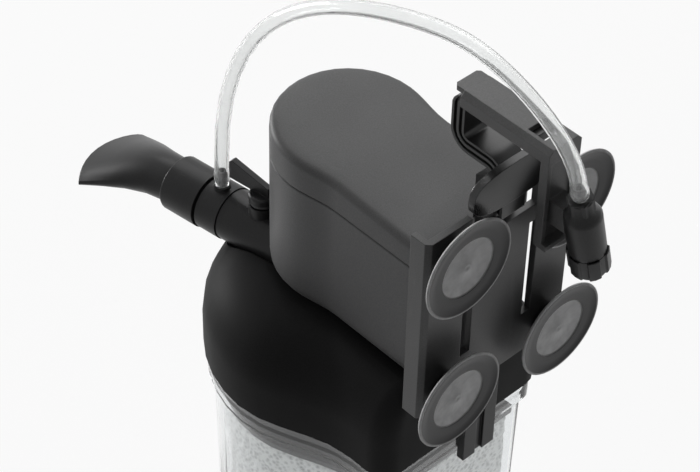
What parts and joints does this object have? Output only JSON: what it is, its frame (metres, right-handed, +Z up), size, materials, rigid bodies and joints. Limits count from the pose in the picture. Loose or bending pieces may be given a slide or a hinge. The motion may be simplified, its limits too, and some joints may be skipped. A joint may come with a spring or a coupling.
{
  "type": "canister filter",
  "caption": "submersible aquarium filter with a clear canister below a pump head, a fan-shaped outlet nozzle, a suction-cup holder, a tank-rim hook and a clear air hose with a needle valve",
  "frame": {"origin": "on the flat underside of the canister cup, below the pump's upright axis", "axes": "+Z up along the pump's axis, +Y from the tank's glass into the tank, the way the nozzle blows, +X to the right for someone outside the glass"},
  "size_m": [0.119, 0.2519, 0.3248],
  "materials": {
    "clear_smoke": "clear, lightly smoked, glossy",
    "foam": "pale open-cell filter foam",
    "black_plastic": "satin black moulding",
    "head_grey": "fine-grained satin grey",
    "clip_grey": "satin dark grey moulding",
    "rubber": "soft dark rubber",
    "potted_core": "iron core and winding cast in resin",
    "magnet": "dull ferrite",
    "ceramic": "polished ceramic",
    "brass_pin": "turned",
    "clear_hose": "clear soft vinyl"
  },
  "bodies": {
    "canister": {"canister_cup": "clear_smoke", "foam_block": "foam", "media_grid": "black_plastic"},
    "filter_head": {"filter_lid": "black_plastic", "lid_gasket": "rubber", "pump_housing": "head_grey", "head_cover": "head_grey", "cable_gland": "black_plastic", "motor_stator": "potted_core", "rotor_shaft": "ceramic", "upper_bush": "rubber", "lower_bush": "rubber", "volute_case": "black_plastic", "impeller_cover": "black_plastic", "outlet_tube": "black_plastic", "lever_seal": "rubber", "venturi_collar": "black_plastic", "guide_rail": "black_plastic", "rim_strap": "clip_grey", "air_hose": "clear_hose"},
    "impeller": {"impeller": "black_plastic", "rotor_magnet": "magnet"},
    "regulator": {"flow_lever": "black_plastic", "throttle_flap": "black_plastic"},
    "nozzle": {"nozzle_sleeve": "black_plastic", "duckbill": "black_plastic"},
    "holder": {"holder_plate": "clip_grey", "suction_cup_1": "rubber", "suction_cup_2": "rubber", "suction_cup_3": "rubber", "suction_cup_4": "rubber"},
    "rim_hook": {"rim_hook": "clip_grey", "valve_body": "black_plastic"},
    "valve_knob": {"valve_knob": "black_plastic", "valve_needle": "brass_pin"}
  },
  "joints": [
    {"name": "head_lift", "type": "slide", "parent": "canister", "child": "filter_head", "axis": [0, 0, 1], "range_m": [0, 0.06]},
    {"name": "impeller_spin", "type": "hinge", "parent": "filter_head", "child": "impeller", "pos_m": [0, 0, 0.165], "axis": [0, 0, 1], "continuous": true},
    {"name": "flow_turn", "type": "hinge", "parent": "filter_head", "child": "regulator", "pos_m": [-0.01515, 0.03523, 0.163], "axis": [0, 0, 1], "range_deg": [0, 90]},
    {"name": "nozzle_turn", "type": "hinge", "parent": "filter_head", "child": "nozzle", "pos_m": [-0.01, -0.00141, 0.163], "axis": [-0.1392, 0.9903, 0], "continuous": true},
    {"name": "holder_slide", "type": "slide", "parent": "filter_head", "child": "holder", "axis": [0, 0, 1], "range_m": [-0.045, 0]},
    {"name": "hook_slide", "type": "slide", "parent": "filter_head", "child": "rim_hook", "axis": [0, 1, 0], "range_m": [-0.006, 0.004], "deforming": ["air_hose"]},
    {"name": "valve_turn", "type": "hinge", "parent": "rim_hook", "child": "valve_knob", "pos_m": [-0.0044, -0.117, 0.279], "axis": [-0.2487, 0, 0.9686], "range_deg": [-180, 180]}
  ]
}
